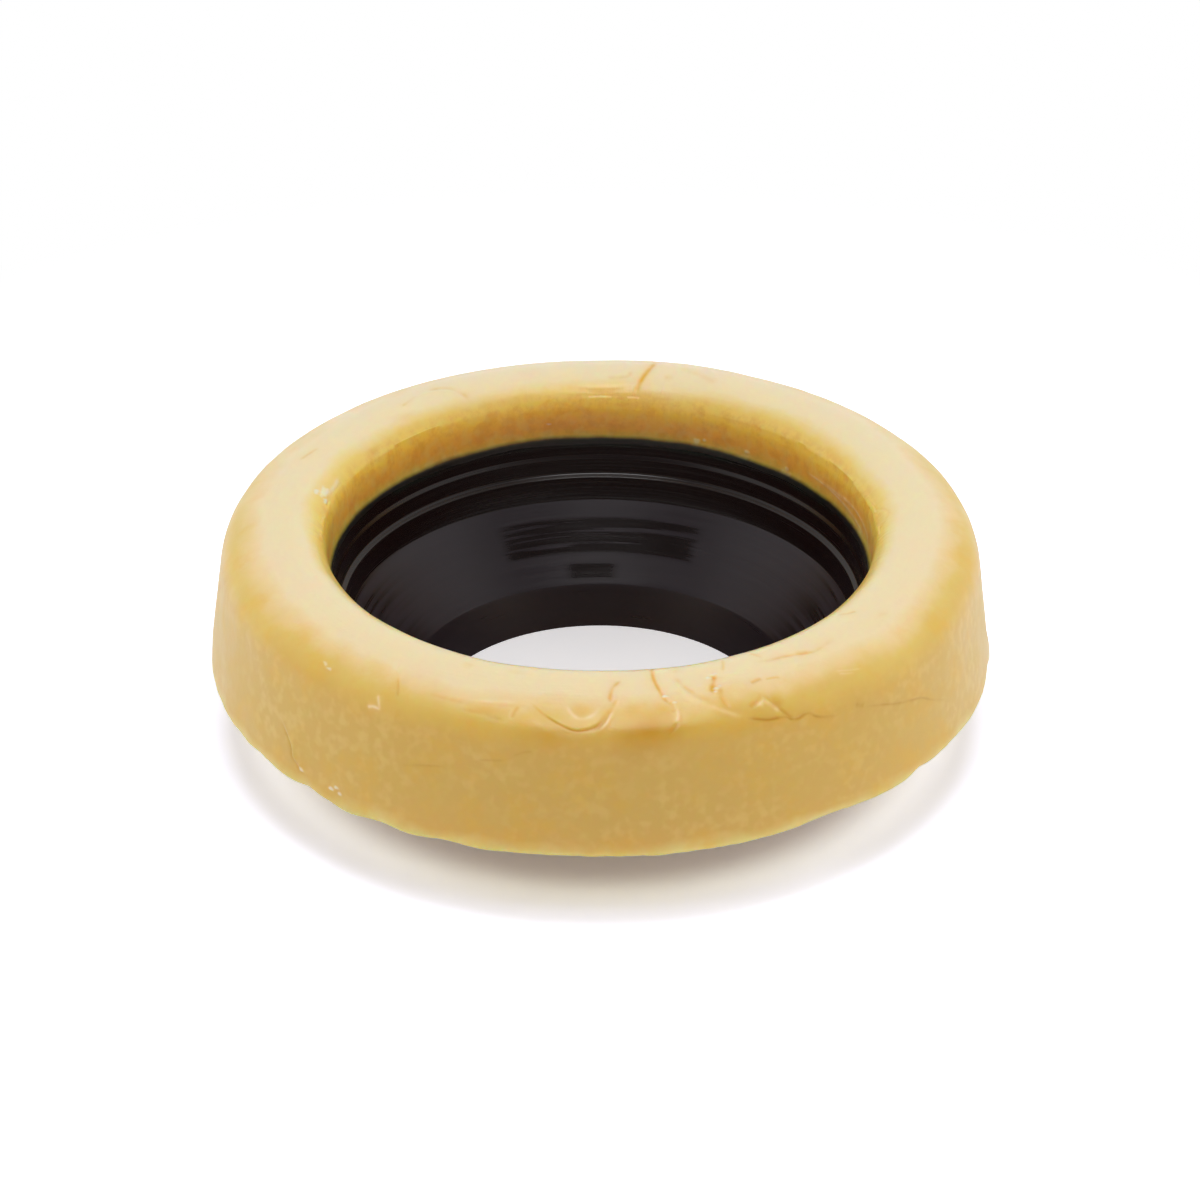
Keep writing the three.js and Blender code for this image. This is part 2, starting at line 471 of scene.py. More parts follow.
def polyethylene(sleeve):
    """Black polyethylene, injection moulded in a turned tool: half gloss, with the fine rings
    of the tool. The funnel has a dull haze, with darker streaks at the back and the sides that are a
    painted reflection of dark things round the camera."""
    material = bpy.data.materials.new("Black polyethylene, moulded")
    tree = new_tree(material)
    place = add_node(tree, "ShaderNodeTexCoord").outputs["Object"]
    axes = add_node(tree, "ShaderNodeSeparateXYZ", {0: place}).outputs
    heading = axis_heading(tree, axes)
    height = maths(tree, "DIVIDE", axes["Z"], MM)
    from_back = maths(tree, "ARCTAN2", axes["X"], axes["Y"])
    to_side = maths(tree, "ABSOLUTE", from_back)

    # Tool rings 0.3 mm apart, and streaks 0.6 mm apart and 30 mm long that break up the haze and the
    # painted dark reflection.
    rings = clouds(tree, wound(tree, heading, 3.0, maths(tree, "DIVIDE", height, 0.3)), 1, 2.0)
    streaks = clouds(tree, wound(tree, heading, 1.2, maths(tree, "DIVIDE", height, 0.6)), 1, 4.0)
    smears = clouds(tree, place, 9 * MM)

    def band(middle, reach, edge):
        """One at a height in mm, and fading away from it."""
        apart = maths(tree, "ABSOLUTE", maths(tree, "SUBTRACT", height, middle))
        return ramp(tree, apart, reach + edge, reach)

    # A painted dark reflection takes the haze away at the back in a bar 11 mm up, in lines round 13 mm
    # up and in a spot 8 mm up, and in streaks at both sides.
    ragged_side = maths(tree, "MULTIPLY_ADD", streaks, 0.16, to_side)
    behind = ramp(tree, ragged_side, 0.56, 0.5)
    bar = product(tree, band(11.0, 0.35, 0.5), ramp(tree, streaks, 0.3, 0.42))
    lines = product(tree, band(13.1, 1.6, 0.6), ramp(tree, streaks, 0.36, 0.5))
    painted_dark_reflection = product(tree, maths(tree, "MAXIMUM", bar, lines), behind)
    spot_side = maths(tree, "ABSOLUTE", maths(tree, "ADD", from_back, 0.04))
    spot = product(
        tree, band(8.0, 0.6, 0.9), ramp(tree, spot_side, 0.16, 0.08), ramp(tree, smears, 0.3, 0.5)
    )
    sides = product(tree, ramp(tree, to_side, 0.95, 1.3), ramp(tree, streaks, 0.4, 0.6))
    painted_dark_reflection = maths(tree, "MAXIMUM", maths(tree, "MAXIMUM", painted_dark_reflection, spot), sides)

    # The haze lies on the funnel, and half as much on the neck. The top of the collar is faded.
    funnel_foot = sleeve.neck_height / MM
    funnel_top = funnel_foot + sleeve.funnel_height / MM
    haze = product(
        tree, ramp(tree, height, funnel_top, funnel_top - 0.2),
        ramp(tree, height, funnel_foot - 0.6, funnel_foot + 0.6, 0.5, 1.0),
        maths(tree, "SUBTRACT", 1.0, painted_dark_reflection), ramp(tree, smears, 0.2, 0.8, 0.8, 1.0),
    )
    colour = mix_colour(tree, haze, opaque(sleeve.colour), opaque(sleeve.haze_colour))
    top = sleeve_high.z / MM
    fade = product(tree, ramp(tree, height, top - 2, top - 0.6), ramp(tree, smears, 0.35, 0.65))
    colour = mix_colour(tree, fade, colour, opaque(sleeve.fade_colour))

    roughness = maths(tree, "MULTIPLY_ADD", haze, 0.16, ramp(tree, streaks, 0.3, 0.7, 0.2, 0.28))
    relief = maths(tree, "MULTIPLY_ADD", rings, 0.7, smears)
    bump = add_node(
        tree, "ShaderNodeBump", {"Height": relief, "Strength": 0.4, "Distance": 0.05 * MM}
    ).outputs[0]
    principled(tree, {"Base Color": colour, "Roughness": roughness, "IOR": 1.51, "Normal": bump})
    return material


class PANSEAL_OT_sleeve(bpy.types.Operator):
    """Moulds the sleeve: neck, funnel, stepped collar and the perforated rim"""

    bl_idname = "panseal.sleeve"
    bl_label = "Sleeve"

    def execute(self, context):
        sleeve = context.scene.pan_seal_sleeve
        piece = draw_section("sleeve_moulding", sleeve_section(sleeve))
        turn_section(SLEEVE_STEPS)
        combine(piece, key_pins(sleeve, sleeve.key_hole_radius), "DIFFERENCE")
        finish_piece(piece, polyethylene(sleeve), "sleeve", SLEEVE_SHARP)
        return {"FINISHED"}


# Wax

WAX_STEPS = 480
WAX_SHARP = math.radians(50)
SKIN_SPACING = 0.7 * MM
FOOT_SPACING = 0.3 * MM
UNDERSIDE_SPACING = 1.2 * MM

# The wax stands this far off the sleeve, so that no two faces lie in one place.
SEAT_GAP = 0.05 * MM


def wax_skin(wax, collar_point, spacing):
    """The visible outside of the wax, from the foot of the outer wall to the edge of the film."""
    up = Vector((-math.sin(wax.wall_lean), math.cos(wax.wall_lean)))
    inward = Vector((-up.y, up.x))
    setback = wax.foot_round * math.tan(math.pi / 4 + wax.wall_lean / 2)
    foot_reach = setback * math.sin(wax.wall_lean) + wax.foot_round * (math.cos(wax.wall_lean) - 1)
    foot = Vector((wax_high.x + foot_reach, wax_low.z))
    foot_centre = foot + up * setback + inward * wax.foot_round

    crest = Vector((wax.hole_radius + wax.lip_round, wax_high.z))
    wall_top = foot + up * ((crest.y - foot.y - wax.crown_drop) / up.y)
    crown_reach = wall_top.x - crest.x
    crown_round = (crown_reach**2 + wax.crown_drop**2) / (2 * wax.crown_drop)
    crown_centre = crest - Vector((0, crown_round))

    from_crown = foot + inward * wax.shoulder_round - crown_centre
    run = from_crown.dot(up)
    room = crown_round - wax.shoulder_round
    from_crown += up * (math.sqrt(run * run - from_crown.length_squared + room * room) - run)
    meeting = math.atan2(from_crown.y, from_crown.x)

    lip_centre = crest - Vector((0, wax.lip_round))
    film_edge = collar_point + Vector((-0.2 * MM, -wax.film_reach))
    outline = [
        *arc(foot_centre, wax.foot_round, -math.pi / 2, wax.wall_lean, min(spacing, FOOT_SPACING)),
        *arc(crown_centre + from_crown, wax.shoulder_round, wax.wall_lean, meeting, spacing),
        *arc(crown_centre, crown_round, meeting, math.pi / 2, spacing)[1:],
        *arc(lip_centre, wax.lip_round, math.pi / 2, math.pi, spacing)[1:],
        collar_point + Vector((0.3 * MM, 0.9 * MM)),
        collar_point + Vector((-0.12 * MM, 0)),
        film_edge,
    ]
    return spaced(outline, spacing)


def wax_section(wax, sleeve, spacing):
    """The whole section of the wax, and the stretch of it that shows."""
    inner, outer = sleeve_lines(sleeve)
    seat = offset(outer, SEAT_GAP)
    rim_underside, rim_top = rim_faces(sleeve)
    rim_underside -= SEAT_GAP
    rim_top += SEAT_GAP
    rim_edge = sleeve_high.x + SEAT_GAP
    collar_point = inner[-1]
    skin = wax_skin(wax, collar_point, spacing)
    film_back = at_height(inner, skin[-1].y) + Vector((-SEAT_GAP, 0))
    over_collar = collar_point + Vector((-SEAT_GAP, SEAT_GAP))
    hidden = [
        film_back,
        over_collar,
        *reversed(stretch(seat, rim_top, sleeve_high.z + SEAT_GAP)),
        Vector((rim_edge, rim_top)),
        Vector((rim_edge, rim_underside)),
        *reversed(stretch(seat, wax_low.z, rim_underside)),
    ]
    underside = spaced([hidden[-1], skin[0]], UNDERSIDE_SPACING)
    near_foot = spaced([underside[-2], skin[0]], FOOT_SPACING)
    shown = [*underside[:-2], *near_foot, *skin[1:]]
    return shown, hidden[:-1]


class Skin:
    """The shown stretch of the wax's section as a surface: an azimuth in degrees and a height
    over the wax, measured along the section from the foot of the outer wall."""

    STEP = 0.1 * MM
    EASE = 3 * MM

    def __init__(self, shown, foot):
        self.line = np.array(spaced(shown, self.STEP))
        run = np.concatenate([[0], np.cumsum(np.hypot(*np.diff(self.line, axis=0).T))])
        self.over = run - run[np.hypot(*(self.line - np.array(foot)).T).argmin()]

        # Where the arcs of the wall, crown and lip meet, the bend changes slowly.
        window = np.hanning(2 * round(self.EASE / self.STEP) + 1)
        eased = [np.convolve(side, window / window.sum(), mode="same") for side in self.line.T]
        blend = smooth_step(self.over, 4 * MM, 8 * MM)
        blend *= 1 - smooth_step(self.over, 38 * MM, 40 * MM)
        self.line += blend[:, None] * (np.array(eased).T - self.line)
        self.tangent = np.gradient(self.line, axis=0)
        self.tangent /= np.linalg.norm(self.tangent, axis=1)[:, None]
        self.tree = KDTree(len(self.line))
        for i, (radius, height) in enumerate(self.line):
            self.tree.insert((radius, height, 0), i)
        self.tree.balance()

    def point(self, azimuth, over):
        """Places on the surface, for azimuths in degrees and heights over it in metres."""
        angle = np.radians(azimuth)
        radius = np.interp(over, self.over, self.line[:, 0])
        height = np.interp(over, self.over, self.line[:, 1])
        return np.stack([radius * np.cos(angle), radius * np.sin(angle), height], axis=-1)

    def find(self, places):
        """Each place's azimuth and height over the wax, the outward normal there, the nearest
        place on the surface, and how far off that is."""
        radius = np.hypot(places[:, 0], places[:, 1])
        across, along = places[:, 0] / radius, places[:, 1] / radius
        hits = [self.tree.find((r, z, 0)) for r, z in zip(radius, places[:, 2])]
        index = np.array([hit[1] for hit in hits])
        tangent = self.tangent[index]
        from_hit = np.stack([radius, places[:, 2]], axis=1) - self.line[index]
        run = np.einsum("ij,ij->i", from_hit, tangent)
        nearest = self.line[index] + tangent * run[:, None]
        on = np.stack([nearest[:, 0] * across, nearest[:, 0] * along, nearest[:, 1]], axis=-1)
        normal = np.stack([tangent[:, 1] * across, tangent[:, 1] * along, -tangent[:, 0]], axis=-1)
        azimuth = np.degrees(np.arctan2(along, across)) % 360
        return azimuth, self.over[index] + run, normal, on, np.linalg.norm(places - on, axis=1)


# A crease of the wax: its form, its half width and depth in mm, its tint from 0 to 1, and the
# points it passes through, each an azimuth in degrees and a height over the wax in mm. Cracks,
# folds and furrows are tinted amber, and ridges cream, which is partly pale bloom and partly a
# painted highlight. A fold's higher side is on its left, seen from outside.
Crease = namedtuple("Crease", "form width depth tint path")

CREASES = [
    # Front, left of the middle: a crack that runs into the looping fold of poured wax.
    Crease("crack", 0.31, 0.11, 0.75, [
        (273.6, 31.3), (272.8, 30.4), (272.1, 29.5), (271.8, 28.5), (271.6, 27.4), (271.7, 26.4),
    ]),
    Crease("crack", 0.38, 0.11, 0.85, [
        (272.9, 27.1), (272.2, 26), (271.6, 25), (270.8, 23.8), (270.2, 22.7), (269.4, 22),
        (268, 21.5),
    ]),
    Crease("fold", 0.2, 0.09, 0.8, [
        (259.4, 25.7), (261.2, 24.1), (262.8, 23), (264.6, 22), (266.4, 21.4), (268.2, 21.6),
        (269.8, 22.3),
    ]),
    Crease("ridge", 0.25, 0.1, 0.7, [
        (273.3, 27.4), (272.5, 25.8), (271.7, 24.2), (271, 22.8), (269.8, 21.4),
    ]),
    Crease("ridge", 0.32, 0.08, 0.8, [
        (264.8, 25.8), (265.7, 24.3), (266.8, 23.5), (268, 23.6), (269.2, 24.4), (270, 25.8),
    ]),
    Crease("ridge", 0.4, 0.03, 0.15, [
        (259.6, 22.9), (262, 21.5), (264.4, 20.7), (267, 20.6), (270.4, 21.3),
    ]),
    Crease("crack", 0.29, 0.06, 0.6, [(257.5, 25), (256.9, 23.7), (256.8, 22.6)]),
    # Front, right of the middle: the longest crack, from the hole to the wall.
    Crease("crack", 0.3, 0.13, 0.9, [
        (280, 38.4), (279.5, 34.6), (279.2, 31.4), (279.5, 29), (279.9, 27.4), (280.3, 26.4),
        (281.1, 25.4),
    ]),
    Crease("crack", 0.43, 0.11, 1, [(280.9, 26), (281.2, 25), (281.2, 23.9)]),
    Crease("ridge", 0.25, 0.1, 0.8, [(281.3, 26.2), (281.7, 24.8), (281.7, 23.2), (281.2, 21.8)]),
    Crease("crack", 0.26, 0.08, 0.8, [(281.6, 22.4), (281, 21.4), (280.3, 20.7), (279.7, 20)]),
    Crease("ridge", 0.42, 0.12, 0.4, [
        (281, 32), (282.6, 28.8), (284, 26.6), (285.6, 25.2), (288, 23.4), (290.4, 21.8),
        (292.8, 20.8),
    ]),
    Crease("furrow", 0.45, 0.06, 0.45, [(282.8, 31), (284, 28.4), (285.6, 26.4), (287.6, 24.9)]),
    # The tear with its lifted flake.
    Crease("crack", 0.43, 0.18, 1, [(289.6, 30.2), (288.9, 28.8), (288.3, 27.6), (287.9, 26.4)]),
    Crease("crack", 0.41, 0.07, 0.65, [(289.6, 27.4), (289.1, 25.8), (289.2, 24.4), (289.8, 22.9)]),
    # The flap below it, and the wavy crack along the top of the wall.
    Crease("fold", 0.34, 0.12, 0.75, [
        (299, 19), (298.2, 19.9), (297.3, 21.2), (296.6, 22.4), (296, 23.4), (295.3, 24.8),
    ]),
    Crease("furrow", 0.4, 0.06, 0.55, [(292.6, 22.7), (294.2, 23.4), (295.6, 24.8)]),
    Crease("ridge", 0.35, 0.1, 0.75, [(294, 22.5), (295.2, 23.1), (296, 22.2), (297, 20.8)]),
    Crease("crack", 0.22, 0.08, 1, [
        (291.6, 21.2), (293.4, 20.6), (295, 20.1), (296.6, 20), (297.8, 19.8), (298.6, 19.2),
        (299.6, 19),
    ]),
    Crease("crack", 0.22, 0.08, 1, [
        (298.9, 19.1), (299.8, 19), (300.8, 19.3), (301.8, 19.2), (302.6, 18.5), (303.8, 17.9),
        (306.4, 17.2),
    ]),
    Crease("crack", 0.38, 0.04, 1, [(309.8, 17.8), (310.6, 17.4), (311.4, 17)]),
    Crease("crack", 0.18, 0.04, 0.8, [
        (311.8, 16.7), (315, 15.6), (318, 14.4), (321.6, 13.3), (324, 12.4), (326.6, 10.7),
        (330.4, 8.6),
    ]),
    # The lip of poured wax on the right of the front.
    Crease("fold", 0.4, 0.12, 0.5, [
        (313.4, 29.8), (310.6, 29.2), (308.4, 29), (306.8, 29.3), (305.4, 29.7), (303, 30.2),
        (300.4, 30.5), (297.8, 31.1),
    ]),
    Crease("crack", 0.5, 0.07, 0.6, [(305, 29.9), (306.2, 29.5), (307.6, 29.2)]),
    Crease("ridge", 0.3, 0.08, 0.6, [(291.2, 29.9), (293, 29.4), (295.2, 29.1)]),
    Crease("furrow", 0.24, 0.06, 0.4, [(291.5, 30.8), (292.3, 32.4), (293, 34.2)]),
    Crease("furrow", 0.28, 0.08, 0.6, [(294.6, 26.9), (295.8, 27.2), (296.8, 27.3)]),
    Crease("furrow", 0.22, 0.06, 0.45, [(297.2, 26.9), (298.6, 26.8), (299.8, 26.5)]),
    Crease("furrow", 0.3, 0.04, 0.35, [(298.4, 34), (299.6, 31.4)]),
    Crease("fold", 0.3, 0.09, 0.6, [(323, 32.1), (321.4, 32.8), (320.4, 33.8)]),
    Crease("ridge", 0.2, 0.08, 0.6, [(319.2, 33.2), (320.2, 34.2), (321, 35)]),
    Crease("ridge", 0.16, 0.06, 0.35, [(308.8, 24.1), (311, 23.3), (313, 22.7)]),
    Crease("ridge", 0.16, 0.06, 0.35, [(309, 23.5), (310.2, 23), (311.6, 22.6)]),
    # Left of the front: brushed ripples below the lip, and fine scores in the wall.
    Crease("ridge", 0.3, 0.08, 0.55, [(249.6, 24.7), (252.6, 25.1), (254.4, 25.4), (257, 25.7)]),
    Crease("furrow", 0.4, 0.05, 0.45, [(249, 22.9), (252.4, 22.9), (254, 22.4), (256, 22.1)]),
    Crease("furrow", 0.35, 0.04, 0.3, [(243, 24.2), (248, 24.1), (254, 24.6), (259, 25.2)]),
    Crease("crack", 0.2, 0.08, 0.6, [(236.9, 25.4), (237.8, 23.8), (238.7, 22)]),
    Crease("ridge", 0.25, 0.08, 1, [(235, 28.3), (235.4, 27.2), (235.9, 25.9)]),
    Crease("ridge", 0.24, 0.08, 0.9, [(235.5, 21.4), (236.1, 20.2), (236.5, 19)]),
    Crease("ridge", 0.24, 0.08, 0.9, [(234.3, 19), (235.4, 19.4), (236.8, 19.3)]),
    Crease("furrow", 0.16, 0.04, 0.5, [(240.8, 11.3), (244, 12.2), (247.4, 12.9)]),
    Crease("furrow", 0.16, 0.04, 0.5, [(252.6, 15.1), (256.4, 15.7)]),
    Crease("furrow", 0.16, 0.04, 0.5, [(257.6, 16.6), (259, 17.4), (260.4, 17.7)]),
    # Back: the crack with flow lines curling away on both sides.
    Crease("crack", 0.45, 0.12, 1, [
        (80.5, 24.6), (80.2, 29), (80.6, 31.4), (81.2, 33.6), (82, 35.8), (82.9, 37.4),
    ]),
    Crease("fold", 0.5, 0.06, 0.3, [
        (97, 36.2), (93, 36.8), (90, 37), (87, 36.8), (84.6, 36.3), (83, 35.5),
    ]),
    Crease("fold", 0.35, 0.06, 0.3, [(88.6, 34.4), (85.6, 34.2), (84.2, 33.6), (83.8, 32)]),
    Crease("ridge", 0.35, 0.06, 0.6, [(86, 27.6), (84.8, 29.4), (84, 31.4)]),
    Crease("furrow", 0.7, 0.04, 0.25, [(66.4, 33.2), (69, 31.8), (72, 30.6), (75.4, 29.2)]),
    Crease("ridge", 0.3, 0.05, 0.5, [(64, 35), (66.4, 31.6), (69.4, 28.4), (71, 26.6)]),
    Crease("ridge", 0.3, 0.05, 0.5, [(73, 34.8), (75.2, 31.4), (77, 27)]),
    Crease("ridge", 0.3, 0.05, 0.5, [(77.6, 35), (78.8, 31), (79.2, 26.6)]),
    Crease("ridge", 0.3, 0.05, 0.5, [(82.4, 33), (82.8, 30), (84.4, 27.4)]),
    Crease("ridge", 0.3, 0.05, 0.4, [(98, 34), (96, 31), (95.4, 27)]),
    Crease("ridge", 0.3, 0.05, 0.4, [(106.6, 34), (107.2, 30), (106.4, 27)]),
    # Back left: the half-round mark of a tool, and a small scrape.
    Crease("furrow", 0.55, 0.08, 0.5, [
        (118, 35.8), (119.2, 33.4), (120.4, 31.6), (122, 30.6), (124, 30.3),
    ]),
    Crease("ridge", 0.5, 0.12, 0.8, [
        (119, 36), (120.6, 33.4), (122.6, 31.8), (125.6, 31), (128.4, 31.4), (131.4, 32.6),
    ]),
    Crease("furrow", 0.26, 0.06, 0.55, [(127, 30.8), (129.4, 31.6), (131.8, 32.3)]),
    Crease("furrow", 0.32, 0.06, 0.45, [(154, 30.4), (156.4, 29.9), (159.2, 29.3)]),
    Crease("ridge", 0.35, 0.1, 0.9, [(160, 37.1), (164, 37.4), (167.6, 36.8), (169, 35)]),
    # Right: white scratches where the lip turns into the hole.
    Crease("ridge", 0.13, 0.06, 0.9, [(38.1, 43.1), (30, 43.4), (20.6, 43.9), (10.4, 44.6)]),
    Crease("ridge", 0.13, 0.06, 0.8, [(33.5, 43), (25.9, 43), (16, 42.3)]),
    Crease("ridge", 0.13, 0.06, 0.9, [(27.1, 42.7), (18.1, 42.5), (9.6, 43.1), (6.6, 44.2)]),
    Crease("ridge", 0.13, 0.06, 0.8, [(8.6, 40.2), (3.1, 41.2), (0.6, 44.2)]),
    Crease("fold", 0.3, 0.06, 0.3, [
        (-1, 38.4), (0.8, 36.6), (3.4, 35.7), (6.8, 37.2), (9.2, 39.4),
    ]),
    # Left foot: a fold of flash pressed against the wall.
    Crease("fold", 0.35, 0.3, 0.5, [
        (217.6, 8.6), (219.6, 6.2), (220.2, 4.2), (221.4, 3.2), (223.2, 2.4),
    ]),
]

# Pools of clear wax under the skin: azimuth, height over the wax in mm, half width and half
# height in mm, and strength.
POOLS = [
    (277, 22, 5.4, 3.6, 0.85), (276, 19.6, 4.8, 2.6, 0.5), (267.2, 24.9, 1.9, 1.3, 0.5),
    (289.8, 23, 2.4, 1.3, 0.6), (297, 22.3, 1.1, 1.3, 0.7), (253, 23.4, 4, 1, 0.4),
    (246.4, 31.7, 1, 0.7, 0.3), (255.6, 32.2, 2, 0.5, 0.25), (283.4, 33, 0.8, 0.8, 0.3),
    (146, 37.6, 1.6, 0.8, 0.5), (76.4, 33.3, 0.9, 0.9, 0.35), (325.4, 28.6, 1.2, 0.8, 0.25),
    (133, 34.6, 2.4, 0.8, 0.25), (263, 21, 6, 2.4, 0.3), (306, 23.2, 6, 1.3, 0.3),
]

# Wax thumbed out of true at the foot: azimuth, half width in degrees, and drop in mm.
FLASH = [
    (181, 4, -0.75), (205, 8, 0.25), (219, 3.5, 0.35), (224, 1.4, -0.35), (232, 3.4, 0.95),
    (242.5, 3, 0.7), (253, 3, 0.45), (278, 1.5, 0.25), (304, 5.5, -0.8), (316, 4, 0.2),
    (322.5, 1.6, -0.5), (342, 6, 0.35), (352, 2, -0.35), (358, 3, 0.5), (24, 5, 0.4),
    (61, 4, -0.5), (96, 7, 0.35), (128, 3, -0.4), (150, 4, 0.5),
]

# Flakes of bruised wax: azimuth in degrees, height over the wax and size in mm.
CHIPS = [
    (167.3, 36.4, 1.1), (168.6, 35.3, 0.7), (169.6, 37.3, 0.6), (176, 38.4, 0.6), (181.4, 38.7, 0.5),
    (224.5, 22.4, 0.55), (225.3, 22, 0.45), (288.5, 29.7, 0.4), (289.4, 30.3, 0.4), (288.9, 27.3, 0.45),
    (289.5, 27.6, 0.3), (288.4, 26.7, 0.3), (280.3, 27, 0.35), (281.4, 25.7, 0.3),
    (228.6, 2.6, 0.4), (229.8, 3.2, 0.45), (230.4, 2.5, 0.35), (222.4, 3, 0.6),
    (101.5, 42.5, 0.3), (68, 44.4, 0.6), (66.4, 44.1, 0.35), (56, 44.3, 0.4), (44.6, 44.4, 0.4),
]


def crease_line(skin, path):
    """A smooth line over the wax through a crease's points."""
    points = np.array(path) * (1, MM)
    padded = np.concatenate([[2 * points[0] - points[1]], points, [2 * points[-1] - points[-2]]])
    line = []
    for p0, p1, p2, p3 in zip(padded, padded[1:], padded[2:], padded[3:]):
        t = np.linspace(0, 1, 24, endpoint=False)[:, None]
        bend = 2 * p1 + (p2 - p0) * t + (2 * p0 - 5 * p1 + 4 * p2 - p3) * t**2
        line.append((bend + (3 * p1 - p0 - 3 * p2 + p3) * t**3) / 2)
    line = np.concatenate([*line, points[-1:]])
    return skin.point(line[:, 0], line[:, 1])


def across_crease(form, d):
    """Height over the skin at a signed distance from a crease, both against its own scale."""
    if form == "crack":
        return -np.exp(-(d**2)) + 0.2 * np.exp(-((np.abs(d) - 2.2) ** 2))
    if form == "fold":
        return smooth_step(d, -0.2, 1.4) * (1 - smooth_step(d, 1, 9)) - 0.6 * np.exp(-(d**2))
    if form == "ridge":
        return np.exp(-(d**2) / 2)
    return -np.exp(-(d**2)) + 0.25 * np.exp(-((np.abs(d) - 1.8) ** 2))


def near_line(places, line, reach):
    """For the places within reach of a line: their index, distance and nearest point of it."""
    middle = line.mean(axis=0)
    extent = np.linalg.norm(line - middle, axis=1).max() + reach
    close = np.flatnonzero(np.linalg.norm(places - middle, axis=1) < extent)
    tree = KDTree(len(line))
    for i, point in enumerate(line):
        tree.insert(point, i)
    tree.balance()
    hits = [tree.find(places[i]) for i in close]
    nearest = np.array([hit[1] for hit in hits], int)
    distance = np.array([hit[2] for hit in hits])
    within = distance < reach
    return close[within], distance[within], nearest[within]


def refine_creases(piece, skin):
    """Splits the faces along the creases and at the flakes, so that their edges are sharp."""
    mesh = piece.data
    centres = np.empty(len(mesh.polygons) * 3)
    mesh.polygons.foreach_get("center", centres)
    centres = centres.reshape(-1, 3)
    chosen = np.zeros(len(mesh.polygons), bool)
    for crease in CREASES:
        line = crease_line(skin, crease.path)
        close, _, _ = near_line(centres, line, (crease.width * 1.8 + 0.45) * MM)
        chosen[close] = True
    for azimuth, over, radius in CHIPS:
        spot = skin.point(azimuth, over * MM)
        chosen[np.linalg.norm(centres - spot, axis=1) < (radius + 0.6) * MM] = True
    bpy.ops.object.mode_set(mode="EDIT")
    bpy.ops.mesh.select_mode(type="FACE")
    bpy.ops.mesh.select_all(action="DESELECT")
    bpy.ops.object.mode_set(mode="OBJECT")
    mesh.polygons.foreach_set("select", chosen)
    bpy.ops.object.mode_set(mode="EDIT")
    bpy.ops.mesh.subdivide(number_cuts=3)
    bpy.ops.object.mode_set(mode="OBJECT")


def noise_at(places, size, seed):
    """Smooth noise from -1 to 1 at places, with features of a size."""
    shift = Vector((seed * 7.3, seed * 3.1, seed * 5.7))
    return np.array([noise.noise(Vector(place) / size + shift) for place in places])


def lump_wax(places):
    """Unevenness of the casting, in lumps of 22 mm, 8 mm and 3 mm."""
    lumps = noise_at(places, 22 * MM, 1) + 0.4 * noise_at(places, 8 * MM, 2)
    return lumps + 0.14 * noise_at(places, 3 * MM, 3) - 0.45


def crease_wax(places, normal, shown, skin):
    """The creases' height over the skin, and their amber tint and their cream tint, partly a
    painted highlight, at each place. They are uneven along their length, and fade out at both ends."""
    rise, clear, pale_and_highlight = np.zeros((3, len(places)))
    for crease in CREASES:
        line = crease_line(skin, crease.path)
        strength = np.clip(0.85 + 0.8 * noise_at(line, 1.7 * MM, 9), 0.3, 1)
        part = np.linspace(0, 1, len(line))
        strength *= np.minimum(smooth_step(part, -0.05, 0.15), 1 - smooth_step(part, 0.8, 1.05))
        width = crease.width * MM
        close, distance, nearest = near_line(places, line, 10 * width)
        along = np.gradient(line, axis=0)[nearest]
        from_line = places[close] - line[nearest]
        side = np.einsum("ij,ij->i", np.cross(normal[close], along), from_line)
        d = np.copysign(distance, side) / width
        strength = strength[nearest] * shown[close]
        rise[close] += crease.depth * MM * across_crease(crease.form, d) * strength
        tint = 0.8 * np.exp(-(d**2)) + 0.2 * np.exp(-((d / 3.5) ** 2))
        # Ridges are tinted cream, partly pale bloom and partly a painted highlight.
        colour = pale_and_highlight if crease.form == "ridge" else clear
        colour[close] = np.maximum(colour[close], crease.tint * strength * tint)
    return rise, clear, pale_and_highlight


def drop_foot(azimuth):
    """How far in mm the ragged flash at the foot is drawn down, at each azimuth."""
    drop = np.zeros(len(azimuth))
    for height, width, seed in ((0.16, 3.1, 5), (0.08, 0.9, 6)):
        along = np.stack([azimuth / width, azimuth * 0, azimuth * 0], axis=1)
        drop += height * noise_at(along, 1, seed)
    for flash_azimuth, half_width, depth in FLASH:
        apart = (azimuth - flash_azimuth + 180) % 360 - 180
        drop += depth * np.exp(-((apart / half_width) ** 2))
    return drop


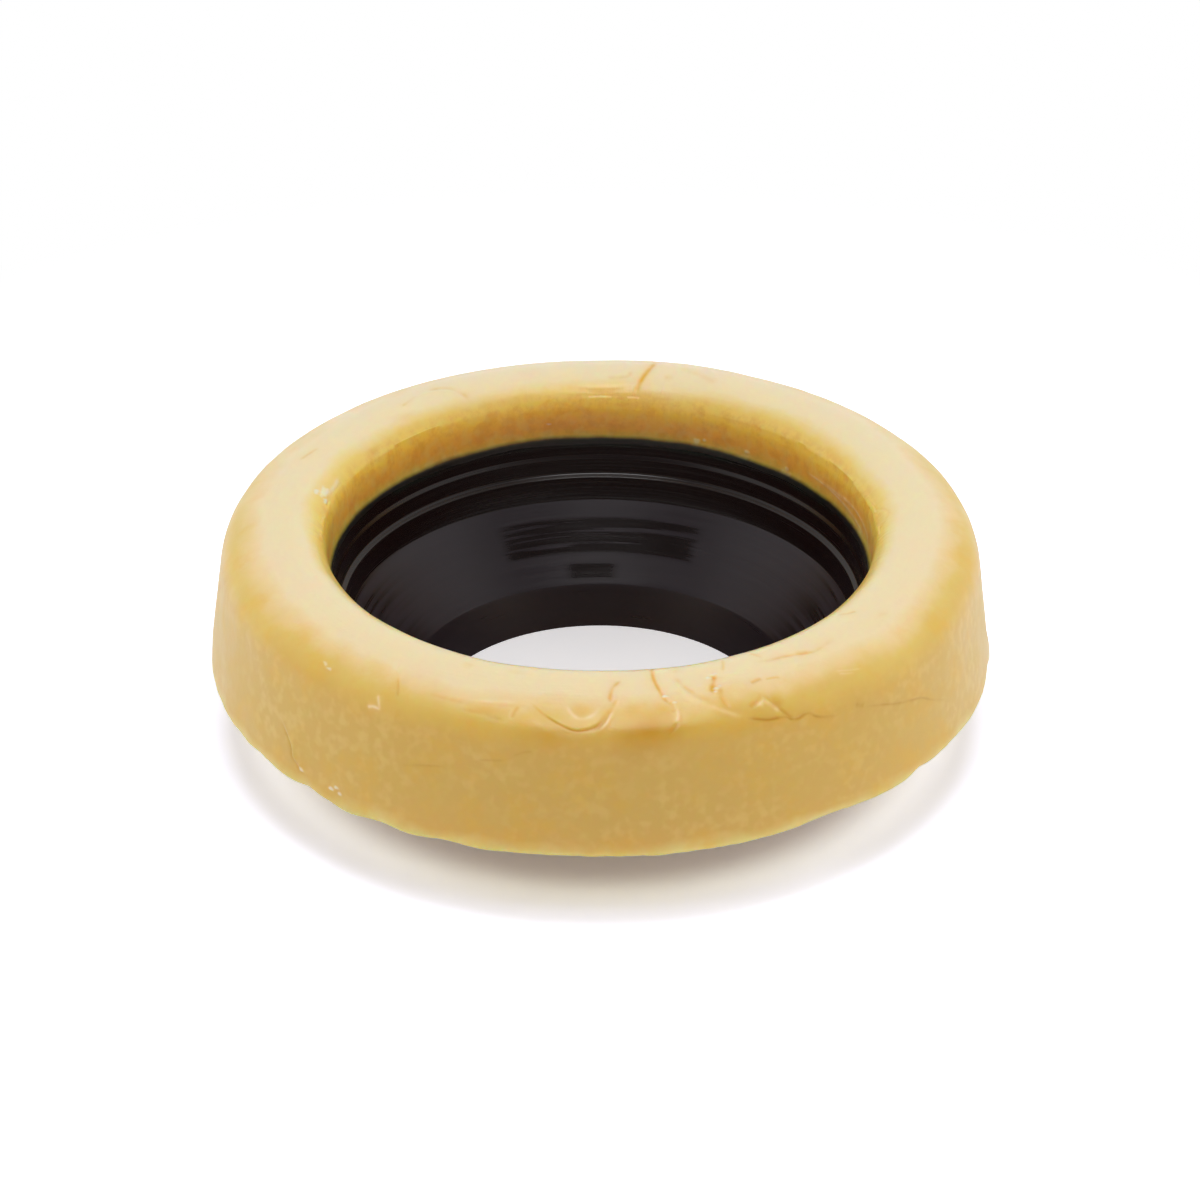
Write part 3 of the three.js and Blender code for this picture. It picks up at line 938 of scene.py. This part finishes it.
def sculpt_wax(piece, wax, skin):
    """Moves the turned skin to its uneven cast shape, with its flash, film, creases and chips."""
    mesh = piece.data
    places = np.empty(len(mesh.vertices) * 3)
    mesh.vertices.foreach_get("co", places)
    places = places.reshape(-1, 3)
    azimuth, over, normal, on, off = skin.find(places)
    shown = off < np.where(over < 38 * MM, 0.2 * MM, 0.055 * MM)
    places[shown] = on[shown]
    film_top = skin.over.max() - wax.film_reach
    body = shown * smooth_step(over, -1 * MM, 3 * MM)
    body = body * (1 - smooth_step(over, film_top - 2 * MM, film_top))
    rise, clear, pale_and_highlight = crease_wax(places, normal, shown, skin)
    rise += wax.lump_height * lump_wax(places) * body

    def reach_to(centre_azimuth, centre_over, half_width, half_height):
        """Distance over the skin from a spot, against its half width and half height."""
        apart = np.radians((azimuth - centre_azimuth + 180) % 360 - 180)
        apart = apart * np.hypot(places[:, 0], places[:, 1])
        return np.hypot(apart / (half_width * MM), (over - centre_over * MM) / (half_height * MM))

    pool_edge = 0.35 * noise_at(places, 2.4 * MM, 10)
    for pool_azimuth, pool_over, half_width, half_height, strength in POOLS:
        reach = reach_to(pool_azimuth, pool_over, half_width, half_height) + pool_edge
        clear = np.maximum(clear, strength * (1 - smooth_step(reach, 0, 1.5)) * shown)

    # Flakes stand up a little and are white.
    bruised = np.zeros(len(places))
    ragged = noise_at(places, 0.7 * MM, 4)
    for chip_azimuth, chip_over, size in CHIPS:
        reach = reach_to(chip_azimuth, chip_over, 1.5 * size, 0.8 * size) + 0.7 * ragged
        chip = (1 - smooth_step(reach, 0.3, 1.1)) * shown
        bruised = np.maximum(bruised, 0.8 * chip)
        rise += 0.1 * MM * chip

    moved = places + normal * rise[:, None]

    # The flash is drawn down, and slightly out.
    drop = drop_foot(azimuth)
    at_foot = shown * np.exp(-(((over - 0.5 * MM) / (1.3 * MM)) ** 2))
    moved[:, 2] -= at_foot * drop * 0.8 * MM
    moved += normal * (1, 1, 0) * (at_foot * np.minimum(drop, 0.3) * 0.5 * MM)[:, None]

    # The edge of the film on the collar, uneven all round.
    film = shown * smooth_step(over, film_top - 0.6 * MM, skin.over.max())
    around = places * (1, 1, 0)
    waver = noise_at(around, 9 * MM, 7) + 0.3 * noise_at(around, 2.2 * MM, 8)
    moved[:, 2] += film * waver * 0.3 * MM

    mesh.vertices.foreach_set("co", moved.ravel())
    layers = {"over": over / MM, "clear": clear, "pale_and_highlight": pale_and_highlight, "bruised": bruised}
    for name, values in layers.items():
        layer = mesh.attributes.new(name, "FLOAT", "POINT")
        layer.data.foreach_set("value", values.astype(np.float32))
    mesh.update()


# Where each colour of the wax sits, in mm over the skin from the foot of the outer wall. The
# crown's colour is its pale bloom with a painted sheen in it.
SKIN_COLOURS = (
    (0, "foot_colour"), (2.6, "wall_colour"), (18.5, "wall_colour"), (22.6, "shoulder_colour"),
    (27.6, "crown_colour"), (34.4, "crown_colour"), (37, "lip_colour"), (39.8, "hole_colour"),
    (43.4, "deep_colour"), (44.9, "deep_colour"), (45.6, "film_colour"),
)
SKIN_LENGTH = 48


def seal_wax(wax):
    """Petroleum and microcrystalline wax, cast warm: cloudy amber that light sinks into, with a
    paler bloom on top with a painted sheen in it, cloudy spots in the wall, and a satin skin with fine
    drag lines."""
    material = bpy.data.materials.new("Microcrystalline wax, cast")
    tree = new_tree(material)
    place = add_node(tree, "ShaderNodeTexCoord").outputs["Object"]
    axes = add_node(tree, "ShaderNodeSeparateXYZ", {0: place}).outputs
    heading = axis_heading(tree, axes)

    def attribute(name):
        return add_node(tree, "ShaderNodeAttribute", attribute_name=name).outputs["Fac"]

    # The bloom, with its painted sheen, and the clear wax meet unevenly: the colours wander 3 mm over
    # the skin.
    over = attribute("over")
    wander = maths(tree, "MULTIPLY_ADD", clouds(tree, place, 13 * MM), 5.0, -2.5)
    ragged = maths(tree, "MULTIPLY_ADD", clouds(tree, place, 3 * MM), 1.6, -0.8)
    wander = maths(tree, "ADD", wander, ragged)
    level = maths(tree, "MULTIPLY_ADD", wander, ramp(tree, over, 44, 41, 0.22, 1.0), over)
    stripes = add_node(
        tree, "ShaderNodeValToRGB", {"Fac": maths(tree, "DIVIDE", level, SKIN_LENGTH)}
    )
    elements = stripes.color_ramp.elements
    for i, (height, name) in enumerate(SKIN_COLOURS):
        element = elements[i] if i < 2 else elements.new(1)
        element.position = height / SKIN_LENGTH
        element.color = opaque(getattr(wax, name))
    skin = stripes.outputs["Color"]

    # Cloudy spots 1.7 mm across in the clear wax of the wall, and deeper clouds of 7 mm.
    wall = product(tree, ramp(tree, over, 22, 17), ramp(tree, over, 1.5, 3))
    spots = ramp(tree, clouds(tree, place, 1.7 * MM, 1.2, 0.4), 0.42, 0.74)
    patches = ramp(tree, clouds(tree, place, 16 * MM, 1.0), 0.25, 0.6)
    skin = mix_colour(tree, product(tree, spots, patches, wall, 0.38), skin, opaque(wax.spot_colour))
    deep = ramp(tree, clouds(tree, place, 7 * MM, 5.0, 0.6), 0.45, 0.7)
    deep = product(tree, deep, ramp(tree, over, 30, 22), 0.4)
    skin = mix_colour(tree, deep, skin, opaque(wax.crease_colour))

    # Creases and pools are a deeper amber in the wall than in the crown.
    crease = mix_colour(
        tree, ramp(tree, over, 20, 26), opaque(wax.score_colour), opaque(wax.crease_colour)
    )
    skin = mix_colour(tree, attribute("clear"), skin, crease)
    # Ridges take the crown's colour: partly pale bloom, partly a painted highlight along them.
    skin = mix_colour(tree, attribute("pale_and_highlight"), skin, opaque(wax.crown_colour))
    bruised = product(tree, attribute("bruised"), ramp(tree, over, 43.5, 40, 0.45, 1.0))
    skin = mix_colour(tree, bruised, skin, opaque(wax.chip_colour))

    # Inside the hole the wax is streaked from the lip down, and cloudy too.
    inside = product(tree, ramp(tree, over, 36, 39), ramp(tree, over, 45.6, 44.6))
    runs = clouds(tree, wound(tree, heading, 16.0, maths(tree, "DIVIDE", over, 3)), 1, 5.0, 0.65)
    runs = product(tree, ramp(tree, runs, 0.42, 0.66), inside, 0.3)
    skin = mix_colour(tree, runs, skin, opaque(wax.run_colour))
    skin = mix_colour(tree, product(tree, spots, inside, 0.25), skin, opaque(wax.spot_colour))

    # Drag lines run round the crown 0.7 mm apart, over a grain of 0.5 mm. The side walls have
    # upright wrinkles where they were pulled from the mould.
    crown = product(tree, ramp(tree, over, 22, 26), ramp(tree, over, 40, 36))
    drag = clouds(tree, wound(tree, heading, 5.5, maths(tree, "DIVIDE", over, 0.7)), 1, 2.0)
    strokes = clouds(tree, wound(tree, heading, 40.0, maths(tree, "DIVIDE", over, 9)), 1, 2.0)
    strokes = product(
        tree, ramp(tree, strokes, 0.4, 0.75), ramp(tree, over, 31, 37), ramp(tree, over, 45, 41), 0.5
    )
    facing = add_node(tree, "ShaderNodeSeparateXYZ", {0: heading}).outputs["X"]
    flank = ramp(tree, maths(tree, "ABSOLUTE", facing), 0.72, 0.92)
    wrinkles = clouds(tree, wound(tree, heading, 45.0, maths(tree, "DIVIDE", over, 7)), 1, 2.0)
    relief = maths(
        tree, "MULTIPLY_ADD", clouds(tree, place, 0.5 * MM, 2.0), 0.3, clouds(tree, place, 2.2 * MM)
    )
    relief = maths(tree, "MULTIPLY_ADD", product(tree, drag, crown), 0.7, relief)
    relief = maths(tree, "MULTIPLY_ADD", product(tree, wrinkles, flank, wall), 0.7, relief)
    relief = maths(tree, "ADD", relief, strokes)
    bump = add_node(
        tree, "ShaderNodeBump", {"Height": relief, "Strength": 0.5, "Distance": 0.14 * MM}
    ).outputs[0]
    roughness = ramp(tree, clouds(tree, place, 5 * MM), 0.25, 0.75, 0.34, 0.5)
    principled(tree, {
        "Base Color": skin, "Roughness": roughness, "IOR": 1.45, "Normal": bump,
        "Subsurface Weight": 1.0, "Subsurface Radius": (1.0, 0.5, 0.16),
        "Subsurface Scale": 6 * MM, "Coat Weight": 0.6, "Coat Roughness": 0.3,
    })
    return material


class PANSEAL_OT_wax_ring(bpy.types.Operator):
    """Casts the wax ring: section, keys, flash, film, creases, chips and finish"""

    bl_idname = "panseal.wax_ring"
    bl_label = "Wax Ring"

    def execute(self, context):
        wax = context.scene.pan_seal_wax
        sleeve = context.scene.pan_seal_sleeve
        shown, hidden = wax_section(wax, sleeve, SKIN_SPACING)
        piece = draw_section("wax_casting", shown + hidden)
        turn_section(WAX_STEPS)
        combine(piece, key_pins(sleeve, sleeve.key_hole_radius - SEAT_GAP), "UNION")
        foot = next(point for point in shown if point.x > wax_high.x - wax.foot_round)
        skin = Skin(wax_section(wax, sleeve, Skin.STEP)[0], foot)
        refine_creases(piece, skin)
        sculpt_wax(piece, wax, skin)
        finish_piece(piece, seal_wax(wax), "wax_ring", WAX_SHARP)
        return {"FINISHED"}


# Stage

# The room's dark gap: where its middle is over the front, how far from there it is full and
# where it ends, the elevations where it starts and is full, and the light in it and round it.
GAP_ELEVATION = math.radians(46)
GAP_INNER = math.radians(20)
GAP_OUTER = math.radians(64)
GAP_FOOT = math.radians(8)
GAP_FULL = math.radians(34)
GAP_LIGHT = 0.05
ROOM_LIGHT = 0.85

# How bright the camera sees the paper, by mm from the axis: painted shade and light that shape the
# seal's shadow. It is dimmer through the sleeve and under the ring, and lifted at the ring's edge,
# where the wax throws its own colour down, and in the open.
PAINTED_PAPER_SHADE_AND_LIGHT = (
    (29, (1.3, 1.3, 1.34)), (46, (1.25, 1.2, 1.56)), (55, (2.16, 2.31, 3.04)),
    (61, (1.68, 1.73, 2.08)), (75, (1.62, 1.64, 1.9)),
)
MIRRORED_PAPER = (1.1, 1.1, 1.1)
FLOOR_SIDE = 6

# Where the paper starts to turn plain white to the camera, and where it is.
FADE_START = 90 * MM
FADE_END = 200 * MM

# The softboxes: name, place and side in metres, power in watts, and whether the seal mirrors it.
SOFTBOXES = (
    ("softbox_over", (0, -0.35, 1.27), 0.7, 6.45, True),
    ("softbox_left", (-1.3, 0, 0.4), 1.2, 4, False),
    ("softbox_right", (1.3, 0, 0.4), 1.2, 5, False),
)


def paper(stage):
    """White paper: it takes the seal's soft shadow, and the camera sees it as white, with painted shade
    and light by distance from the axis.
    """
    material = bpy.data.materials.new("White paper")
    tree = new_tree(material)
    rays = add_node(tree, "ShaderNodeLightPath").outputs
    mirrored = maths(tree, "MAXIMUM", rays["Is Glossy Ray"], rays["Is Transmission Ray"])
    seen = maths(tree, "MAXIMUM", rays["Is Camera Ray"], mirrored)
    place = add_node(tree, "ShaderNodeTexCoord").outputs["Object"]
    distance = add_node(
        tree, "ShaderNodeVectorMath", {0: place}, operation="LENGTH"
    ).outputs["Value"]
    # Painted shade and light: the paper the camera sees is dimmer through the sleeve and under the
    # ring, and lifted at the ring's edge.
    white = opaque(PAINTED_PAPER_SHADE_AND_LIGHT[0][1])
    for (start, _), (end, brightness) in zip(PAINTED_PAPER_SHADE_AND_LIGHT, PAINTED_PAPER_SHADE_AND_LIGHT[1:]):
        white = mix_colour(
            tree, ramp(tree, distance, start * MM, end * MM), white, opaque(brightness)
        )
    colour = mix_colour(tree, rays["Is Camera Ray"], opaque(stage.floor_colour), white)
    colour = mix_colour(tree, mirrored, colour, opaque(MIRRORED_PAPER))
    diffuse = add_node(tree, "ShaderNodeBsdfDiffuse", {"Color": colour}).outputs[0]
    glow = add_node(tree, "ShaderNodeEmission", {"Strength": 1.0}).outputs[0]
    far = product(tree, ramp(tree, distance, FADE_START, FADE_END), seen)
    both = add_node(tree, "ShaderNodeMixShader", {0: far, 1: diffuse, 2: glow}).outputs[0]
    add_node(tree, "ShaderNodeOutputMaterial", {"Surface": both})
    return material


def studio_air(scene):
    """A white room, dark above the camera at the front, where the photographer looks in."""
    world = bpy.data.worlds.new("White studio")
    tree = new_tree(world)
    way = add_node(tree, "ShaderNodeTexCoord").outputs["Generated"]
    gap = Vector((0, -math.cos(GAP_ELEVATION), math.sin(GAP_ELEVATION)))
    front = add_node(
        tree, "ShaderNodeVectorMath", {0: way, 1: gap}, operation="DOT_PRODUCT"
    ).outputs["Value"]
    dark = ramp(tree, front, math.cos(GAP_OUTER), math.cos(GAP_INNER))
    rise = add_node(tree, "ShaderNodeSeparateXYZ", {0: way}).outputs["Z"]
    raised = ramp(tree, rise, math.sin(GAP_FOOT), math.sin(GAP_FULL))
    light = ramp(tree, product(tree, dark, raised), 0, 1, ROOM_LIGHT, GAP_LIGHT)
    rays = add_node(tree, "ShaderNodeLightPath").outputs
    room = add_node(tree, "ShaderNodeBackground", {"Strength": light}).outputs[0]
    white = add_node(tree, "ShaderNodeBackground", {"Strength": 1.0}).outputs[0]
    both = add_node(tree, "ShaderNodeMixShader", {0: rays["Is Camera Ray"], 1: room, 2: white})
    add_node(tree, "ShaderNodeOutputWorld", {"Surface": both.outputs[0]})
    scene.world = world


def add_softbox(name, location, side, power, mirrored):
    """A square softbox that looks at the seal."""
    bpy.ops.object.light_add(type="AREA", location=location)
    lamp = bpy.context.object
    lamp.name = name
    lamp.visible_camera = False
    lamp.visible_glossy = mirrored
    lamp.data.shape = "SQUARE"
    lamp.data.size = side
    lamp.data.energy = power
    lamp.rotation_euler = (-Vector(location)).to_track_quat("-Z", "Y").to_euler()


class PANSEAL_OT_stage(bpy.types.Operator):
    """Sets the camera, the softboxes, the white room and the paper floor"""

    bl_idname = "panseal.stage"
    bl_label = "Stage"

    def execute(self, context):
        scene = context.scene
        stage = scene.pan_seal_stage
        bpy.ops.object.select_all(action="DESELECT")
        reach = stage.camera_distance * math.cos(stage.camera_elevation)
        height = stage.camera_distance * math.sin(stage.camera_elevation) + wax_low.z
        bpy.ops.object.camera_add(location=(0, -reach, height))
        camera = context.object
        camera.name = "camera"
        aim = Vector((0, 0, stage.aim_height)) - camera.location
        camera.rotation_euler = aim.to_track_quat("-Z", "Y").to_euler()
        camera.data.lens = stage.lens
        camera.data.clip_start = 0.01
        scene.camera = camera

        for softbox in SOFTBOXES:
            add_softbox(*softbox)
        studio_air(scene)

        bpy.ops.object.select_all(action="DESELECT")
        bpy.ops.mesh.primitive_grid_add(x_subdivisions=1, y_subdivisions=1, size=FLOOR_SIDE)
        floor = context.object
        floor.name = "floor"
        floor.data.materials.append(paper(stage))
        scene.view_settings.view_transform = "Standard"
        return {"FINISHED"}


# Panel and registration


class PANSEAL_PT_panel(bpy.types.Panel):
    """Lists the operators and the settings"""

    bl_label = "Pan Seal"
    bl_idname = "PANSEAL_PT_panel"
    bl_space_type = "VIEW_3D"
    bl_region_type = "UI"
    bl_category = "Pan Seal"

    def draw(self, context):
        groups = (
            ("pan_seal_stage", "panseal.stage"),
            ("pan_seal_sleeve", "panseal.sleeve"),
            ("pan_seal_wax", "panseal.wax_ring"),
        )
        for group_name, operator in groups:
            box = self.layout.box()
            box.operator(operator)
            group = getattr(context.scene, group_name)
            for setting in group.bl_rna.properties:
                if setting.identifier in group.__annotations__:
                    box.prop(group, setting.identifier)


CLASSES = (
    WaxSettings, SleeveSettings, StageSettings, PANSEAL_OT_sleeve, PANSEAL_OT_wax_ring,
    PANSEAL_OT_stage, PANSEAL_PT_panel,
)


def register():
    for cls in CLASSES:
        bpy.utils.register_class(cls)
    bpy.types.Scene.pan_seal_wax = PointerProperty(type=WaxSettings)
    bpy.types.Scene.pan_seal_sleeve = PointerProperty(type=SleeveSettings)
    bpy.types.Scene.pan_seal_stage = PointerProperty(type=StageSettings)


def unregister():
    del bpy.types.Scene.pan_seal_stage
    del bpy.types.Scene.pan_seal_sleeve
    del bpy.types.Scene.pan_seal_wax
    for cls in reversed(CLASSES):
        bpy.utils.unregister_class(cls)


def main():
    register()
    bpy.ops.panseal.stage()
    bpy.ops.panseal.sleeve()
    bpy.ops.panseal.wax_ring()


if __name__ == "__main__":
    main()
